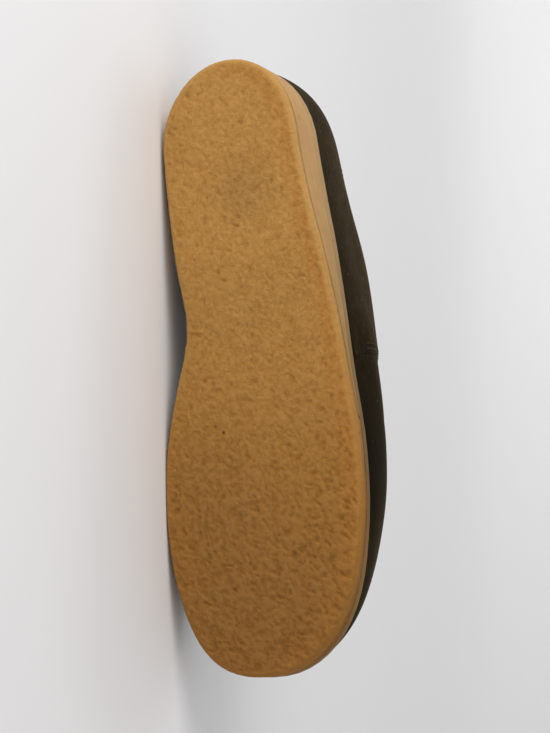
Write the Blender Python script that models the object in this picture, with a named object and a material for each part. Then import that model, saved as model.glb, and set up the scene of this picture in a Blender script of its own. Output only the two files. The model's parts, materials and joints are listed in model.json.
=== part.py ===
"""Chukka boot for the right foot: crepe sole, suede upper, tongue and lace, lying on its medial side.

The boot is worked out upright in its own frame, in millimetres, and laid down at the end.
Its x runs from the heel to the toe, y towards the medial side, and z up from the tread.
"""

import math
from collections import namedtuple

import bmesh
import bpy
import numpy as np
from mathutils import Matrix, Vector

MM = 0.001  # the scene's metres in one millimetre
GAP = 0.3  # clearance where two pieces meet

# Sole: layers, tread and side
SOLE_LENGTH = 300.0
OUTSOLE_THICKNESS = 9.0
OUTSOLE_AT_HEEL = 4.5  # the sheet is thinner there, and the wedge takes up the rest
OUTSOLE_THIN_TO = 125.0  # it stays thin up to here
OUTSOLE_FULL_FROM = 205.0  # and has its full thickness from here
MIDSOLE_THICKNESS = 4.5
WEDGE_LIFT = 10.0
WEDGE_FULL_TO = 55.0  # the lift stays full up to here
WEDGE_ENDS_AT = 158.0  # and has run out here
WEDGE_THIN_EDGE = 0.7
ARCH_RISE = 1.6
ARCH_SPAN = (92.0, 184.0)
TOE_SPRING = 8.0
TOE_SPRING_FROM = 208.0
TREAD_EDGE_ROUND = 1.3
INSOLE_THICKNESS = 3.0
SOLE_STATIONS = 44
HEEL_ROUND = 42.0  # length over which the heel end rounds off
HEEL_POWER = 2.0
TOE_ROUND = 85.0
TOE_POWER = 2.4

# Tread outline: distance from the boot's axis on each side, before the two ends are rounded off
Outline = namedtuple("Outline", "along lateral medial")
TREAD = (
    Outline(0, 36.5, 34.5),
    Outline(40, 34.2, 35.4),
    Outline(70, 36.6, 35.2),
    Outline(100, 41.3, 33.9),
    Outline(130, 44.9, 31.7),
    Outline(160, 47.3, 40.1),
    Outline(190, 49.6, 47.8),
    Outline(215, 49.0, 50.6),
    Outline(240, 46.2, 51.8),
    Outline(270, 42.6, 54.3),
    Outline(300, 37.5, 59.5),
)

# Sole side: how far it leans out for each millimetre of height
Lean = namedtuple("Lean", "along share")
SIDE_LEAN = (
    Lean(0, 0.07),
    Lean(40, 0.165),
    Lean(65, 0.165),
    Lean(170, 0.06),
    Lean(235, 0.06),
    Lean(285, 0.17),
)

# Last, which fills the upper: rings from the sole up to the collar, and one above for the tongue's tip.
# The last eight columns say how far it stands out from the tread's edge at the heel, waist,
# ball and toe, first on the lateral side and then on the medial one.
Ring = namedtuple(
    "Ring",
    "back_x back_z front_x front_z follow dip front_round"
    " lat_heel lat_waist lat_ball lat_toe med_heel med_waist med_ball med_toe",
)
WALL_STATIONS = (35.0, 110.0, 200.0, 265.0)
RINGS = (
    Ring(1.2, 24.4, 298.5, 22.0, 1.0, 0.0, 84, -1.0, -1.6, -1.2, -1.2, -1.0, -1.8, -1.2, -1.2),
    Ring(-0.8, 36.0, 298.8, 31.5, 1.0, 0.0, 84, 0.0, 0.8, 1.2, 0.5, 0.6, -0.7, 0.6, 0.0),
    Ring(-1.0, 50.0, 292.0, 42.0, 0.8, 0.0, 82, 1.2, 1.8, 1.6, -2.5, 1.0, -0.8, 0.6, -3.0),
    Ring(0.7, 64.0, 274.0, 50.0, 0.5, 0.0, 78, 0.0, 2.4, -6.0, -13.5, -1.2, -3.2, -7.0, -13.5),
    Ring(3.7, 77.0, 249.0, 57.0, 0.2, 0.0, 72, -3.2, -2.2, -18.0, -30.0, -4.6, -5.7, -18.0, -28.0),
    Ring(6.2, 88.0, 220.0, 66.0, 0.0, 0.0, 62, -7.2, -7.9, -28.0, -44.0, -7.2, -7.2, -27.0, -40.0),
    Ring(7.2, 97.0, 188.0, 79.5, 0.0, 0.5, 50, -9.4, -11.6, -31.0, -50.0, -8.2, -7.2, -29.0, -48.0),
    Ring(6.7, 105.0, 159.0, 99.0, 0.0, 3.0, 44, -10.8, -13.6, -36.0, -54.0, -8.6, -6.7, -28.0, -50.0),
    Ring(4.7, 113.0, 133.0, 124.0, 0.0, 7.0, 40, -11.4, -13.8, -38.0, -56.0, -8.4, -6.2, -28.0, -50.0),
    Ring(2.2, 121.0, 112.0, 148.0, 0.0, 10.0, 38, -11.2, -13.8, -38.0, -56.0, -8.2, -6.2, -28.0, -50.0),
)
THROAT_RING = 6  # the facings start here
COLLAR_RING = 8
SEAM_X = (152.0, 150.0, 151.0, 155.0, 161.5, 171.0)  # quarters' front edge, by ring below the throat
FACING_GIRTH = (11.0, 12.5, 14.0, 15.0)  # from the crest to a facing's edge, by ring from the throat up
ROWS_PER_RING = 3
QUARTER_COLUMNS = 20
VAMP_COLUMNS = 18
WALL = 1.8
QUARTER_STEP = 1.2  # the quarters lap over the vamp by this much
RING_POINTS = 160

# Tongue, eyelets and lace
TONGUE_THICKNESS = 2.2
TONGUE_CLEARANCE = 0.8
TONGUE_FROM, TONGUE_TO = 5.55, 8.42  # ring numbers of its ends
TONGUE_GIRTH = (19.0, 27.0)  # half widths at those ends
TONGUE_DROOP = 0.8  # ring numbers by which its top edge falls to the sides
TONGUE_ROWS, TONGUE_COLUMNS = 14, 10
EYELET_ROWS = (1, 3, 5)  # rows of the upper's grid above the throat
EYELET_SETBACK = 7.5  # from a facing's edge, and the width of the facing's two columns
EYELET_RADIUS = 2.2
LACE_RADIUS = 1.4
LACE_SIDES = 8
LACE_POINTS = 9
LACE_STANDS_OFF = WALL + QUARTER_STEP + LACE_RADIUS + 0.6
LACE_CROSSING_LIFT = 1.6

# How the boot lies: the sole's medial side and the upper beside the ball touch the floor
LIE_ROLL = 5.576
LIE_PITCH = -4.437

Finish = namedtuple("Finish", "colour roughness")
CREPE = Finish((0.42, 0.21, 0.06), 0.75)
CREPE_EDGE = Finish((0.46, 0.29, 0.12), 0.7)
MIDSOLE_TAN = Finish((0.40, 0.28, 0.15), 0.65)
SUEDE = Finish((0.040, 0.029, 0.017), 0.95)
INSOLE_LEATHER = Finish((0.36, 0.22, 0.11), 0.6)
LACE_CORD = Finish((0.045, 0.032, 0.020), 0.85)


# Curves and profiles of the last

def smooth(knots, values, at):
    """Cubic through the knots with the slope of their neighbours, held level past both ends."""
    knots = np.asarray(knots, float)
    values = np.asarray(values, float)
    slopes = np.gradient(values, knots)
    at = np.clip(np.asarray(at, float), knots[0], knots[-1])
    left = np.clip(np.searchsorted(knots, at, side="right") - 1, 0, len(knots) - 2)
    span = knots[left + 1] - knots[left]
    t = (at - knots[left]) / span
    rise = values[left + 1] - values[left]
    fall_back = slopes[left] * span - rise
    fall_on = rise - slopes[left + 1] * span
    return values[left] + t * rise + t * (1 - t) * ((1 - t) * fall_back + t * fall_on)


def ease(t):
    """0 to 1 with level ends."""
    t = np.clip(t, 0, 1)
    return t * t * (3 - 2 * t)


def round_end(distance, length, power):
    """Share of the full width at this distance from a rounded end."""
    t = np.clip(np.asarray(distance, float) / length, 0, 1)
    return (1 - (1 - t) ** power) ** (1 / power)


def tread_side(x, side):
    """Distance of the tread's edge from the axis before its ends are rounded."""
    return smooth([row.along for row in TREAD], [getattr(row, side) for row in TREAD], x)


def tread_z(x):
    """Underside of the sole: level at heel and ball, with the arch and the toe spring."""
    start, end = ARCH_SPAN
    arch = ARCH_RISE * np.sin(np.pi * np.clip((x - start) / (end - start), 0, 1)) ** 2
    spring = np.clip((x - TOE_SPRING_FROM) / (SOLE_LENGTH - TOE_SPRING_FROM), 0, None)
    return arch + TOE_SPRING * spring**2


def wedge_lift(x):
    """Height by which the wedge raises the midsole above its level at the forefoot."""
    return (WEDGE_LIFT + GAP) * (1 - ease((x - WEDGE_FULL_TO) / (WEDGE_ENDS_AT - WEDGE_FULL_TO)))


def outsole_top(x):
    full = ease((x - OUTSOLE_THIN_TO) / (OUTSOLE_FULL_FROM - OUTSOLE_THIN_TO))
    return tread_z(x) + OUTSOLE_AT_HEEL + (OUTSOLE_THICKNESS - OUTSOLE_AT_HEEL) * full


def midsole_bottom(x):
    return tread_z(x) + OUTSOLE_THICKNESS + GAP + wedge_lift(x)


def sole_top(x):
    return midsole_bottom(x) + MIDSOLE_THICKNESS


# Sole pieces

def stations(start, end, count):
    """Places along the boot, close together at both ends where the outline turns."""
    return start + (end - start) * (1 - np.cos(np.linspace(0, np.pi, count))) / 2


def grown_by(height):
    """How far a layer's outline stands out from the tread's where its edge is this high."""
    def growth(x):
        lean = smooth([row.along for row in SIDE_LEAN], [row.share for row in SIDE_LEAN], x)
        return lean * (height(x) - tread_z(x))

    return growth


def outline_at(x, growth):
    """Lateral and medial edge of the tread's outline, grown outwards by a function of x."""
    lateral = tread_side(x, "lateral")
    medial = tread_side(x, "medial")
    at_heel, at_toe = growth(0.0), growth(SOLE_LENGTH)
    half = (lateral + medial) / 2 + growth(x)
    half = half * round_end(x + at_heel, HEEL_ROUND + at_heel, HEEL_POWER)
    half = half * round_end(SOLE_LENGTH + at_toe - x, TOE_ROUND + at_toe, TOE_POWER)
    centre = (medial - lateral) / 2
    return centre - half, centre + half


def layer(name, finish, levels, end=None):
    """A solid from its underside to its top, with one ring of points for each (height, growth) level.

    The outline may be cut short at end, as at the wedge's thin edge.
    """
    rings = []
    for height, growth in levels:
        last = SOLE_LENGTH + growth(SOLE_LENGTH) if end is None else end
        x = stations(-growth(0.0), last, SOLE_STATIONS)
        lateral, medial = outline_at(x, growth)
        z = height(x)
        rings.append((np.stack([x, lateral, z], 1), np.stack([x, medial, z], 1)))
    shell = bmesh.new()
    made = [[[shell.verts.new(p) for p in side] for side in ring] for ring in rings]
    for i in range(SOLE_STATIONS - 1):
        for lower, upper in zip(made, made[1:]):
            for edge in (0, 1):
                quad = (lower[edge][i], lower[edge][i + 1], upper[edge][i + 1], upper[edge][i])
                shell.faces.new(quad)
        for lateral, medial in (made[0], made[-1]):
            shell.faces.new((lateral[i], lateral[i + 1], medial[i + 1], medial[i]))
    for i in (0, -1):
        for lower, upper in zip(made, made[1:]):
            shell.faces.new((lower[0][i], upper[0][i], upper[1][i], lower[1][i]))
    return solid(name, shell, finish)


def build_sole():
    outsole = layer(
        "outsole",
        CREPE,
        [
            (tread_z, lambda x: -TREAD_EDGE_ROUND),
            (lambda x: tread_z(x) + TREAD_EDGE_ROUND * 0.35, lambda x: -TREAD_EDGE_ROUND * 0.3),
            (lambda x: tread_z(x) + TREAD_EDGE_ROUND, lambda x: 0.1),
            (outsole_top, grown_by(outsole_top)),
        ],
    )
    tip = np.linspace(WEDGE_FULL_TO, OUTSOLE_FULL_FROM, 400)
    wedge_end = tip[np.argmax(midsole_bottom(tip) - outsole_top(tip) < 2 * GAP + WEDGE_THIN_EDGE)]
    wedge = layer(
        "heel_wedge",
        CREPE_EDGE,
        [
            (lambda x: outsole_top(x) + GAP, grown_by(outsole_top)),
            (lambda x: midsole_bottom(x) - GAP, grown_by(midsole_bottom)),
        ],
        wedge_end,
    )
    midsole = layer(
        "midsole",
        MIDSOLE_TAN,
        [(midsole_bottom, grown_by(midsole_bottom)), (sole_top, grown_by(sole_top))],
    )

    def inside_upper(x):
        edge = np.minimum(wall_offset("lat", 0, x), wall_offset("med", 0, x))
        return edge - WALL - 2 * GAP

    insole = layer(
        "insole",
        INSOLE_LEATHER,
        [
            (lambda x: sole_top(x) + GAP, inside_upper),
            (lambda x: sole_top(x) + GAP + INSOLE_THICKNESS, inside_upper),
        ],
    )
    return [outsole, wedge, midsole, insole]


# Surface of the last

def ring_value(name, level):
    return smooth(range(len(RINGS)), [getattr(ring, name) for ring in RINGS], level)


def wall_offset(side, level, x):
    names = [f"{side}_{place}" for place in ("heel", "waist", "ball", "toe")]
    return smooth(WALL_STATIONS, [ring_value(name, level) for name in names], x)


def half_ring(level, side):
    """Points of one ring from the middle of the back to the crest, down one side of the boot."""
    back, front = ring_value("back_x", level), ring_value("front_x", level)
    x = stations(back, front, RING_POINTS)
    lateral = tread_side(x, "lateral") + wall_offset("lat", level, x)
    medial = tread_side(x, "medial") + wall_offset("med", level, x)
    half = (lateral + medial) / 2
    half = half * round_end(x - back, HEEL_ROUND, HEEL_POWER)
    half = half * round_end(front - x, ring_value("front_round", level), TOE_POWER)
    y = (medial - lateral) / 2 + side * half
    share = (x - back) / (front - back)
    chord = sole_top(back) + (sole_top(front) - sole_top(back)) * share
    low, high = ring_value("back_z", level), ring_value("front_z", level)
    z = low + (high - low) * share + ring_value("follow", level) * (sole_top(x) - chord)
    z = z - ring_value("dip", level) * np.sin(np.pi * share)
    if level == 0:
        z = sole_top(x) + GAP
    return np.stack([x, y, z], 1)


def girths(points):
    """Distance along a run of points to each of them."""
    steps = np.linalg.norm(np.diff(points, axis=0), axis=1)
    return np.concatenate([[0.0], np.cumsum(steps)])


def edge_share(level, side):
    """Where the quarter's front edge lies on a half ring, from 0 at the back to 1 at the crest."""
    shares = []
    for number in range(len(RINGS)):
        points = half_ring(number, side)
        run = girths(points)
        if number < THROAT_RING:
            reached = np.interp(SEAM_X[number], points[:, 0], run)
        else:
            reached = run[-1] - FACING_GIRTH[number - THROAT_RING]
        shares.append(reached / run[-1])
    return float(smooth(range(len(RINGS)), shares, level))


def at_shares(points, shares):
    """Points at these shares of a half ring's girth."""
    run = girths(points)
    return np.stack([np.interp(np.asarray(shares) * run[-1], run, points[:, k]) for k in range(3)], 1)


def last_row(level):
    """One ring of the grid: back, lateral quarter, vamp over the crest, medial quarter."""
    halves = []
    for side in (-1, 1):
        points = half_ring(level, side)
        edge = edge_share(level, side)
        column = EYELET_SETBACK / girths(points)[-1]
        quarter = np.linspace(0, edge - 2 * column, QUARTER_COLUMNS - 1)
        vamp = np.linspace(edge, 1, VAMP_COLUMNS + 1)
        halves.append(at_shares(points, [*quarter, edge - column, *vamp]))
    return np.concatenate([halves[0], halves[1][-2:0:-1]])


def grid_normals(grid):
    """Outward normals of a grid of closed rings."""
    around = np.roll(grid, -1, axis=1) - np.roll(grid, 1, axis=1)
    up = np.gradient(grid, axis=0)
    normals = np.cross(around, up)
    normals[0, :, 2] = 0  # the edge on the sole stays level
    return normals / np.linalg.norm(normals, axis=2, keepdims=True)


# Upper

def octagon_in(shell, sheet, row, column):
    """New points of a hole around one point of a sheet, each beside the neighbour that it faces."""
    middle = sheet[row][column].co
    across = (sheet[row][column + 1].co - sheet[row][column - 1].co).normalized()
    up = sheet[row + 1][column].co - sheet[row - 1][column].co
    up = (up - across * up.dot(across)).normalized()
    pairs = []
    for r, c in ((-1, -1), (-1, 0), (-1, 1), (0, 1), (1, 1), (1, 0), (1, -1), (0, -1)):
        spoke = (across * c + up * r).normalized() * EYELET_RADIUS
        pairs.append((sheet[row + r][column + c], shell.verts.new(middle + spoke)))
    return pairs


def eyelet(shell, outer, inner, row, column):
    """Closes both sheets around a lace hole and gives the hole its wall."""
    outside = octagon_in(shell, outer, row, column)
    inside = octagon_in(shell, inner, row, column)
    for k in range(len(outside)):
        n = (k + 1) % len(outside)
        for pairs in (outside, inside):
            shell.faces.new((pairs[k][0], pairs[n][0], pairs[n][1], pairs[k][1]))
        shell.faces.new((outside[k][1], outside[n][1], inside[n][1], inside[k][1]))


def build_upper():
    rows_above = 2
    levels = np.arange(COLLAR_RING * ROWS_PER_RING + 1 + rows_above) / ROWS_PER_RING
    last = np.array([last_row(level) for level in levels])
    normals = grid_normals(last)
    collar = COLLAR_RING * ROWS_PER_RING
    throat = THROAT_RING * ROWS_PER_RING
    columns = last.shape[1]
    lateral_edge = QUARTER_COLUMNS
    medial_edge = columns - QUARTER_COLUMNS

    shell = bmesh.new()
    rows = range(collar + 1)

    def sheet(offset):
        return [[shell.verts.new(p) for p in last[r] + normals[r] * offset] for r in rows]

    inner, vamp, quarter = sheet(0.0), sheet(WALL), sheet(WALL + QUARTER_STEP)

    def is_vamp(column):
        return lateral_edge <= column < medial_edge

    eyelets = [(throat + r, c) for r in EYELET_ROWS for c in (lateral_edge - 1, medial_edge + 1)]
    open_cells = {(r - i, c - j) for r, c in eyelets for i in (0, 1) for j in (0, 1)}

    for c in range(columns):
        n = (c + 1) % columns
        outer = vamp if is_vamp(c) else quarter
        top = throat if is_vamp(c) else collar
        for r in range(top):
            if (r, c) not in open_cells:
                shell.faces.new((outer[r][c], outer[r][n], outer[r + 1][n], outer[r + 1][c]))
                shell.faces.new((inner[r][c], inner[r + 1][c], inner[r + 1][n], inner[r][n]))
        shell.faces.new((outer[0][c], inner[0][c], inner[0][n], outer[0][n]))
        shell.faces.new((outer[top][c], outer[top][n], inner[top][n], inner[top][c]))
    for c in (lateral_edge, medial_edge):
        for r in range(throat):
            shell.faces.new((vamp[r][c], vamp[r + 1][c], quarter[r + 1][c], quarter[r][c]))
        shell.faces.new((vamp[0][c], quarter[0][c], inner[0][c]))
        shell.faces.new((vamp[throat][c], inner[throat][c], quarter[throat][c]))
        for r in range(throat, collar):
            shell.faces.new((quarter[r][c], quarter[r + 1][c], inner[r + 1][c], inner[r][c]))
    for row, column in eyelets:
        eyelet(shell, quarter, inner, row, column)
    bmesh.ops.delete(shell, geom=[v for v in shell.verts if not v.link_faces], context="VERTS")
    return solid("upper", shell, SUEDE)


# Tongue and lace, placed by their girth from the crest

def on_front(level, girth, offset):
    """Point off the last near the crest: girth is from the crest, negative on the lateral side."""
    def place(lev, gir):
        side = 1 if gir >= 0 else -1
        points = half_ring(lev, side)
        return at_shares(points, [1 - abs(gir) / girths(points)[-1]])[0]

    step = 0.25
    across = place(level, girth + step) - place(level, girth - step)
    up = place(level + 0.05, girth) - place(level - 0.05, girth)
    normal = np.cross(across, up)
    normal = normal / np.linalg.norm(normal)
    return place(level, girth) + normal * offset, normal


def build_tongue():
    shell = bmesh.new()
    top_face, under_face = [], []
    for level in np.linspace(TONGUE_FROM, TONGUE_TO, TONGUE_ROWS):
        share = (level - TONGUE_FROM) / (TONGUE_TO - TONGUE_FROM)
        half = TONGUE_GIRTH[0] + (TONGUE_GIRTH[1] - TONGUE_GIRTH[0]) * share
        over, under = [], []
        for girth in np.linspace(-half, half, TONGUE_COLUMNS + 1):
            fallen = level - TONGUE_DROOP * (share * girth / half) ** 2
            over.append(shell.verts.new(on_front(fallen, girth, -TONGUE_CLEARANCE)[0]))
            under.append(shell.verts.new(on_front(fallen, girth, -TONGUE_CLEARANCE - TONGUE_THICKNESS)[0]))
        top_face.append(over)
        under_face.append(under)
    for r in range(TONGUE_ROWS - 1):
        for c in range(TONGUE_COLUMNS):
            a, b = top_face, under_face
            shell.faces.new((a[r][c], a[r][c + 1], a[r + 1][c + 1], a[r + 1][c]))
            shell.faces.new((b[r][c], b[r + 1][c], b[r + 1][c + 1], b[r][c + 1]))
        for c in (0, TONGUE_COLUMNS):
            a, b = top_face, under_face
            shell.faces.new((a[r][c], a[r + 1][c], b[r + 1][c], b[r][c]))
    for r in (0, TONGUE_ROWS - 1):
        for c in range(TONGUE_COLUMNS):
            a, b = top_face, under_face
            shell.faces.new((a[r][c], b[r][c], b[r][c + 1], a[r][c + 1]))
    return solid("tongue", shell, SUEDE)


def eyelet_places():
    """Level and girth of the eyelets, a lateral and a medial one for each pair."""
    pairs = []
    for row in EYELET_ROWS:
        level = THROAT_RING + row / ROWS_PER_RING
        pair = []
        for side in (-1, 1):
            run = girths(half_ring(level, side))[-1]
            pair.append((level, side * ((1 - edge_share(level, side)) * run + EYELET_SETBACK)))
        pairs.append(pair)
    return pairs


def lace_run(start, end, lift):
    """Points of one strand from a (level, girth) place to another, lifted in the middle."""
    points = []
    for t in np.linspace(0, 1, LACE_POINTS):
        level = start[0] + (end[0] - start[0]) * t
        girth = start[1] + (end[1] - start[1]) * t
        points.append(on_front(level, girth, LACE_STANDS_OFF + lift * math.sin(math.pi * t) ** 2)[0])
    return np.array(points)


def tube(shell, points):
    """Adds a round closed tube along the points."""
    rings = []
    for i, point in enumerate(points):
        ahead = points[min(i + 1, len(points) - 1)] - points[max(i - 1, 0)]
        frame = Vector(ahead).to_track_quat("Z", "Y").to_matrix()
        turns = [2 * math.pi * k / LACE_SIDES for k in range(LACE_SIDES)]
        spokes = [frame @ Vector((math.cos(a), math.sin(a), 0)) * LACE_RADIUS for a in turns]
        rings.append([shell.verts.new(Vector(point) + spoke) for spoke in spokes])
    for low, high in zip(rings, rings[1:]):
        for k in range(LACE_SIDES):
            n = (k + 1) % LACE_SIDES
            shell.faces.new((low[k], low[n], high[n], high[k]))
    shell.faces.new(rings[0][::-1])
    shell.faces.new(rings[-1])


def build_lace():
    """A bar across the lowest eyelets and a crossing to each pair above, joined at the eyelets."""
    places = eyelet_places()
    runs = [lace_run(places[0][0], places[0][1], 0.0)]
    for low, high in zip(places, places[1:]):
        runs.append(lace_run(low[0], high[1], LACE_CROSSING_LIFT))
        runs.append(lace_run(low[1], high[0], 0.0))
    strands = []
    for number, points in enumerate(runs):
        shell = bmesh.new()
        tube(shell, points)
        strands.append(solid("lace" if number == 0 else f"lace_run_{number}", shell, LACE_CORD))
    lace = strands[0]
    for strand in strands[1:]:
        join = lace.modifiers.new(strand.name, "BOOLEAN")
        join.operation = "UNION"
        join.object = strand
        strand.hide_render = True
        strand.display_type = "WIRE"
    return [lace, *strands[1:]]


# Objects

def material(name, finish):
    made = bpy.data.materials.new(name)
    made.use_nodes = True
    shader = made.node_tree.nodes["Principled BSDF"]
    shader.inputs["Base Color"].default_value = (*finish.colour, 1)
    shader.inputs["Roughness"].default_value = finish.roughness
    shader.inputs["Metallic"].default_value = 0.0
    return made


def solid(name, shell, finish):
    """An object from a closed shell in millimetres, its faces turned outwards."""
    bmesh.ops.remove_doubles(shell, verts=shell.verts, dist=0.02)
    bmesh.ops.dissolve_degenerate(shell, edges=shell.edges, dist=0.001)
    bmesh.ops.recalc_face_normals(shell, faces=shell.faces)
    bmesh.ops.scale(shell, vec=(MM, MM, MM), verts=shell.verts)
    mesh = bpy.data.meshes.new(name)
    shell.to_mesh(mesh)
    shell.free()
    mesh.shade_smooth()
    mesh.set_sharp_from_angle(angle=math.radians(40))
    mesh.materials.append(material(name, finish))
    made = bpy.data.objects.new(name, mesh)
    bpy.context.scene.collection.objects.link(made)
    return made


def lay_down(pieces):
    """Hangs every piece on one empty, turns it onto its medial side and sets it on the floor."""
    rest = bpy.data.objects.new("boot_at_rest", None)
    bpy.context.scene.collection.objects.link(rest)
    for piece in pieces:
        piece.parent = rest
    roll = Matrix.Rotation(math.radians(LIE_ROLL - 90), 4, "X")
    turn = Matrix.Rotation(math.radians(LIE_PITCH), 4, "Y") @ roll
    corners = [turn @ v.co for piece in pieces for v in piece.data.vertices]
    low = Vector([min(c[k] for c in corners) for k in range(3)])
    high = Vector([max(c[k] for c in corners) for k in range(3)])
    rest.matrix_world = Matrix.Translation((-(low.x + high.x) / 2, -(low.y + high.y) / 2, -low.z)) @ turn
    return rest


def main():
    for obj in list(bpy.data.objects):
        bpy.data.objects.remove(obj)
    return lay_down([*build_sole(), build_upper(), build_tongue(), *build_lace()])


main()
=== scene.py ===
import json
import math

import bmesh
import bpy
import numpy as np
from mathutils import Euler, Matrix, Vector, noise
from mathutils.bvhtree import BVHTree
from mathutils.kdtree import KDTree


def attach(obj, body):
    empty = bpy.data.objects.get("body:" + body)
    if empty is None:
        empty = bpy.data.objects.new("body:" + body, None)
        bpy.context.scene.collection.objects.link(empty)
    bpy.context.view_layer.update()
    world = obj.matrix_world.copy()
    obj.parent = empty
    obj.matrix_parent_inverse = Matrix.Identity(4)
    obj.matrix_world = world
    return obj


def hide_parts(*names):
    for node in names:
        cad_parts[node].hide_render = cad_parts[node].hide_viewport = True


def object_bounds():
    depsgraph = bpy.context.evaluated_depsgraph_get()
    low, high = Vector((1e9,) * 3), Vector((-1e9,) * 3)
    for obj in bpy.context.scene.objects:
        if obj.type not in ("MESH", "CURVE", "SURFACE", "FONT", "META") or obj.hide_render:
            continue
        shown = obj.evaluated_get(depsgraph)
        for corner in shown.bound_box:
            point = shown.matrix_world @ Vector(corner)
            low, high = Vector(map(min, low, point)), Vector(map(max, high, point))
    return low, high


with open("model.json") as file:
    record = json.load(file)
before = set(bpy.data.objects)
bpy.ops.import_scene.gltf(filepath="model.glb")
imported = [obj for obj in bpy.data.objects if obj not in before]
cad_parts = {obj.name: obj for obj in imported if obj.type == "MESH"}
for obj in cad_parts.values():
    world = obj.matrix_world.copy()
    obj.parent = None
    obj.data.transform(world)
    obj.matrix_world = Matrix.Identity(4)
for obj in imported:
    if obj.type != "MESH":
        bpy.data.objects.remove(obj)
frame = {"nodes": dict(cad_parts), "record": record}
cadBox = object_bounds()
print("frame loaded:", ", ".join(sorted(frame["nodes"])))

# how the boot lies in the frame; its own millimetres run heel to toe, to the medial side, and up
lie = {"roll": 5.576, "pitch": -4.437, "heelMount": (0.050, 0, 0)}
lieTurn = Euler((math.radians(lie["roll"] - 90), math.radians(lie["pitch"]), 0))
heelMount = next(m for m in frame["record"]["mounts"] if m["name"] == "tread_heel")
lieOrigin = Vector(heelMount["pos_m"]) - lieTurn.to_matrix() @ Vector(lie["heelMount"])
toRow = Matrix.Translation(lieOrigin) @ lieTurn.to_matrix().to_4x4() @ Matrix.Scale(0.001, 4)
toBoot = toRow.inverted()


# working tools
merge = {"within": 0.00002, "faceTurn": 50, "shapeTurn": 70}  # a solid's triangles into quads


def only(piece):
    bpy.ops.object.select_all(action="DESELECT")
    piece.select_set(True)
    bpy.context.view_layer.objects.active = piece


def edit(piece):
    only(piece)
    bpy.ops.object.mode_set(mode="EDIT")
    bpy.ops.mesh.select_all(action="SELECT")


def done():
    bpy.ops.object.mode_set(mode="OBJECT")


def takeNode(node, name):  # a merged copy of a solid, free to be shaped
    piece = bpy.data.objects.new(name, frame["nodes"][node].data.copy())
    bpy.context.scene.collection.objects.link(piece)
    piece.data.materials.clear()
    edit(piece)
    bpy.ops.mesh.customdata_custom_splitnormals_clear()
    bpy.ops.mesh.remove_doubles(threshold=merge["within"])
    faceTurn, shapeTurn = math.radians(merge["faceTurn"]), math.radians(merge["shapeTurn"])
    bpy.ops.mesh.tris_convert_to_quads(face_threshold=faceTurn, shape_threshold=shapeTurn)
    done()
    return piece


def solidTree(node):  # a solid's faces, to be found by rays
    mesh = frame["nodes"][node].data
    return BVHTree.FromPolygons([v.co for v in mesh.vertices], [f.vertices for f in mesh.polygons])


def levelAt(tree, along, start):  # height of the first face on the boot's axis, seen from above or below
    way = toRow.to_3x3() @ Vector((0, 0, -start))
    return (toBoot @ tree.ray_cast(toRow @ Vector((along, 0, start)), way.normalized())[0]).z


def modify(piece, kind, **settings):
    only(piece)
    step = piece.modifiers.new(kind.lower(), kind)
    for key, value in settings.items():
        setattr(step, key, value)
    bpy.ops.object.modifier_apply(modifier=step.name)


def bootPoints(piece):
    flat = np.empty(len(piece.data.vertices) * 3)
    piece.data.vertices.foreach_get("co", flat)
    turn = np.array(toBoot)
    return flat.reshape(-1, 3) @ turn[:3, :3].T + turn[:3, 3]


def bootNormals(piece):
    flat = np.empty(len(piece.data.vertices) * 3)
    piece.data.vertices.foreach_get("normal", flat)
    return flat.reshape(-1, 3) @ np.array(lieTurn.to_matrix())


def setBootPoints(piece, points):
    turn = np.array(toRow)
    piece.data.vertices.foreach_set("co", (points @ turn[:3, :3].T + turn[:3, 3]).ravel())
    piece.data.update()


def keep(piece, name, values):  # a value for every point, for the finish to read
    made = piece.data.attributes.new(name, "FLOAT", "POINT")
    made.data.foreach_set("value", np.asarray(values, dtype=np.float32))


def soften(values, low, high):
    t = np.clip((values - low) / (high - low), 0, 1)
    return t * t * (3 - 2 * t)


def spread(points, step):  # the same run in even steps; columns past the third go with it
    run = np.concatenate([[0], np.cumsum(np.linalg.norm(np.diff(points[:, :3], axis=0), axis=1))])
    places = np.linspace(0, run[-1], max(2, int(round(run[-1] / step)) + 1))
    return np.stack([np.interp(places, run, column) for column in points.T], 1)


def batches(count, size=20000):  # slices, so that tables of distances stay small
    return [slice(low, low + size) for low in range(0, count, size)]


def smoothShade(piece, angle):
    only(piece)
    bpy.ops.object.shade_smooth_by_angle(angle=math.radians(angle))


def settle(piece, slot, *nodes):
    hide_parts(*nodes)
    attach(piece, "root")


# finishes

class Value:
    def __init__(self, finish, socket):
        self.finish = finish
        self.socket = socket

    def maths(self, operation, *inputs):
        return self.finish.node("ShaderNodeMath", {"operation": operation}, dict(enumerate(inputs)))

    def __add__(self, other):
        return self.maths("ADD", self, other)

    def __radd__(self, other):
        return self.maths("ADD", other, self)

    def __sub__(self, other):
        return self.maths("SUBTRACT", self, other)

    def __rsub__(self, other):
        return self.maths("SUBTRACT", other, self)

    def __mul__(self, other):
        return self.maths("MULTIPLY", self, other)

    def __rmul__(self, other):
        return self.maths("MULTIPLY", other, self)

    def __abs__(self):
        return self.maths("ABSOLUTE", self)

    def sine(self):
        return self.maths("SINE", self)

    def rise(self, low, high):  # 0 before low, 1 after high, soft between
        reach = {"Value": self, "From Min": low, "From Max": high}
        return self.finish.node("ShaderNodeMapRange", {"interpolation_type": "SMOOTHSTEP"}, reach)


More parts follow.
